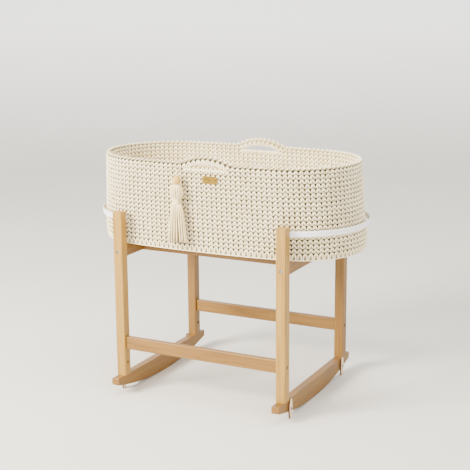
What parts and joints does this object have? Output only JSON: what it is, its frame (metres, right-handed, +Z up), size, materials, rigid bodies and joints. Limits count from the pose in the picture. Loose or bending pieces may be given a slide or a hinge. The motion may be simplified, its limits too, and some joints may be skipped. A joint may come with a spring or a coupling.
{
  "type": "bassinet on stand",
  "caption": "Oval crocheted bassinet basket with carry handles and a tassel, resting on a wooden stand with curved rockers and turn-down stoppers.",
  "frame": {"origin": "on the floor under the middle of the stand", "axes": "+X along the basket's length to the right seen from the front, +Y from the front to the back, +Z up"},
  "size_m": [0.852, 0.544, 0.747],
  "materials": {
    "frame_wood": "planed pale beech, matt lacquer",
    "stopper_plywood": "laser-cut birch plywood with scorched edges",
    "base_plywood": "sanded plywood",
    "bead_wood": "turned beech, unfinished",
    "crochet_cord": "braided cotton cord, crocheted",
    "tassel_cotton": "soft cotton yarn",
    "mattress_cotton": "quilted cotton cover",
    "webbing": "woven white webbing",
    "brass": "brushed",
    "steel": "zinc plated"
  },
  "bodies": {
    "stand": {"leg_front_left": "frame_wood", "leg_front_right": "frame_wood", "leg_rear_left": "frame_wood", "leg_rear_right": "frame_wood", "rocker_left": "frame_wood", "rocker_right": "frame_wood", "stretcher_front": "frame_wood", "stretcher_rear": "frame_wood", "cross_rail_left": "frame_wood", "cross_rail_right": "frame_wood", "support_rail_front": "frame_wood", "support_rail_rear": "frame_wood", "end_band_left": "webbing", "end_band_right": "webbing", "cross_rail_bolts": "steel", "cross_rail_nuts": "steel", "stretcher_bolts": "steel", "stretcher_nuts": "steel", "rocker_bolts": "steel", "rocker_nuts": "steel", "rail_screws": "steel", "band_screws": "steel", "stopper_screws": "steel"},
    "stopper_front_left": {"stopper_front_left": "stopper_plywood"},
    "stopper_front_right": {"stopper_front_right": "stopper_plywood"},
    "stopper_rear_left": {"stopper_rear_left": "stopper_plywood"},
    "stopper_rear_right": {"stopper_rear_right": "stopper_plywood"},
    "basket": {"base_board": "base_plywood", "foundation_row": "crochet_cord", "basket_wall": "crochet_cord", "handle_front": "crochet_cord", "handle_rear": "crochet_cord", "label_plate": "brass", "label_rivets": "brass"},
    "mattress": {"mattress": "mattress_cotton"},
    "tassel_loop": {"tassel_cord": "tassel_cotton"},
    "tassel": {"tassel_bead": "bead_wood", "tassel_head": "tassel_cotton", "tassel_binding": "tassel_cotton", "tassel_skirt": "tassel_cotton"}
  },
  "joints": [
    {"name": "basket_lift", "type": "slide", "parent": "stand", "child": "basket", "axis": [0, 0, 1], "range_m": [0, 0.15]},
    {"name": "mattress_lift", "type": "slide", "parent": "basket", "child": "mattress", "axis": [0, 0, 1], "range_m": [0, 0.3]},
    {"name": "stopper_front_left_turn", "type": "hinge", "parent": "stand", "child": "stopper_front_left", "pos_m": [-0.2837, -0.2005, 0.03], "axis": [-1, 0, 0], "range_deg": [0, 90]},
    {"name": "stopper_front_right_turn", "type": "hinge", "parent": "stand", "child": "stopper_front_right", "pos_m": [0.2837, -0.2005, 0.03], "axis": [-1, 0, 0], "range_deg": [0, 90]},
    {"name": "stopper_rear_left_turn", "type": "hinge", "parent": "stand", "child": "stopper_rear_left", "pos_m": [-0.2837, 0.2005, 0.03], "axis": [1, 0, 0], "range_deg": [0, 90]},
    {"name": "stopper_rear_right_turn", "type": "hinge", "parent": "stand", "child": "stopper_rear_right", "pos_m": [0.2837, 0.2005, 0.03], "axis": [1, 0, 0], "range_deg": [0, 90]},
    {"name": "tassel_sway", "type": "hinge", "parent": "basket", "child": "tassel_loop", "pos_m": [-0.066, -0.2265, 0.703], "axis": [0, 1, 0], "range_deg": [-20, 20]},
    {"name": "tassel_swing", "type": "hinge", "parent": "tassel_loop", "child": "tassel", "pos_m": [-0.066, -0.2265, 0.685], "axis": [-1, 0, 0], "range_deg": [0, 45]}
  ]
}
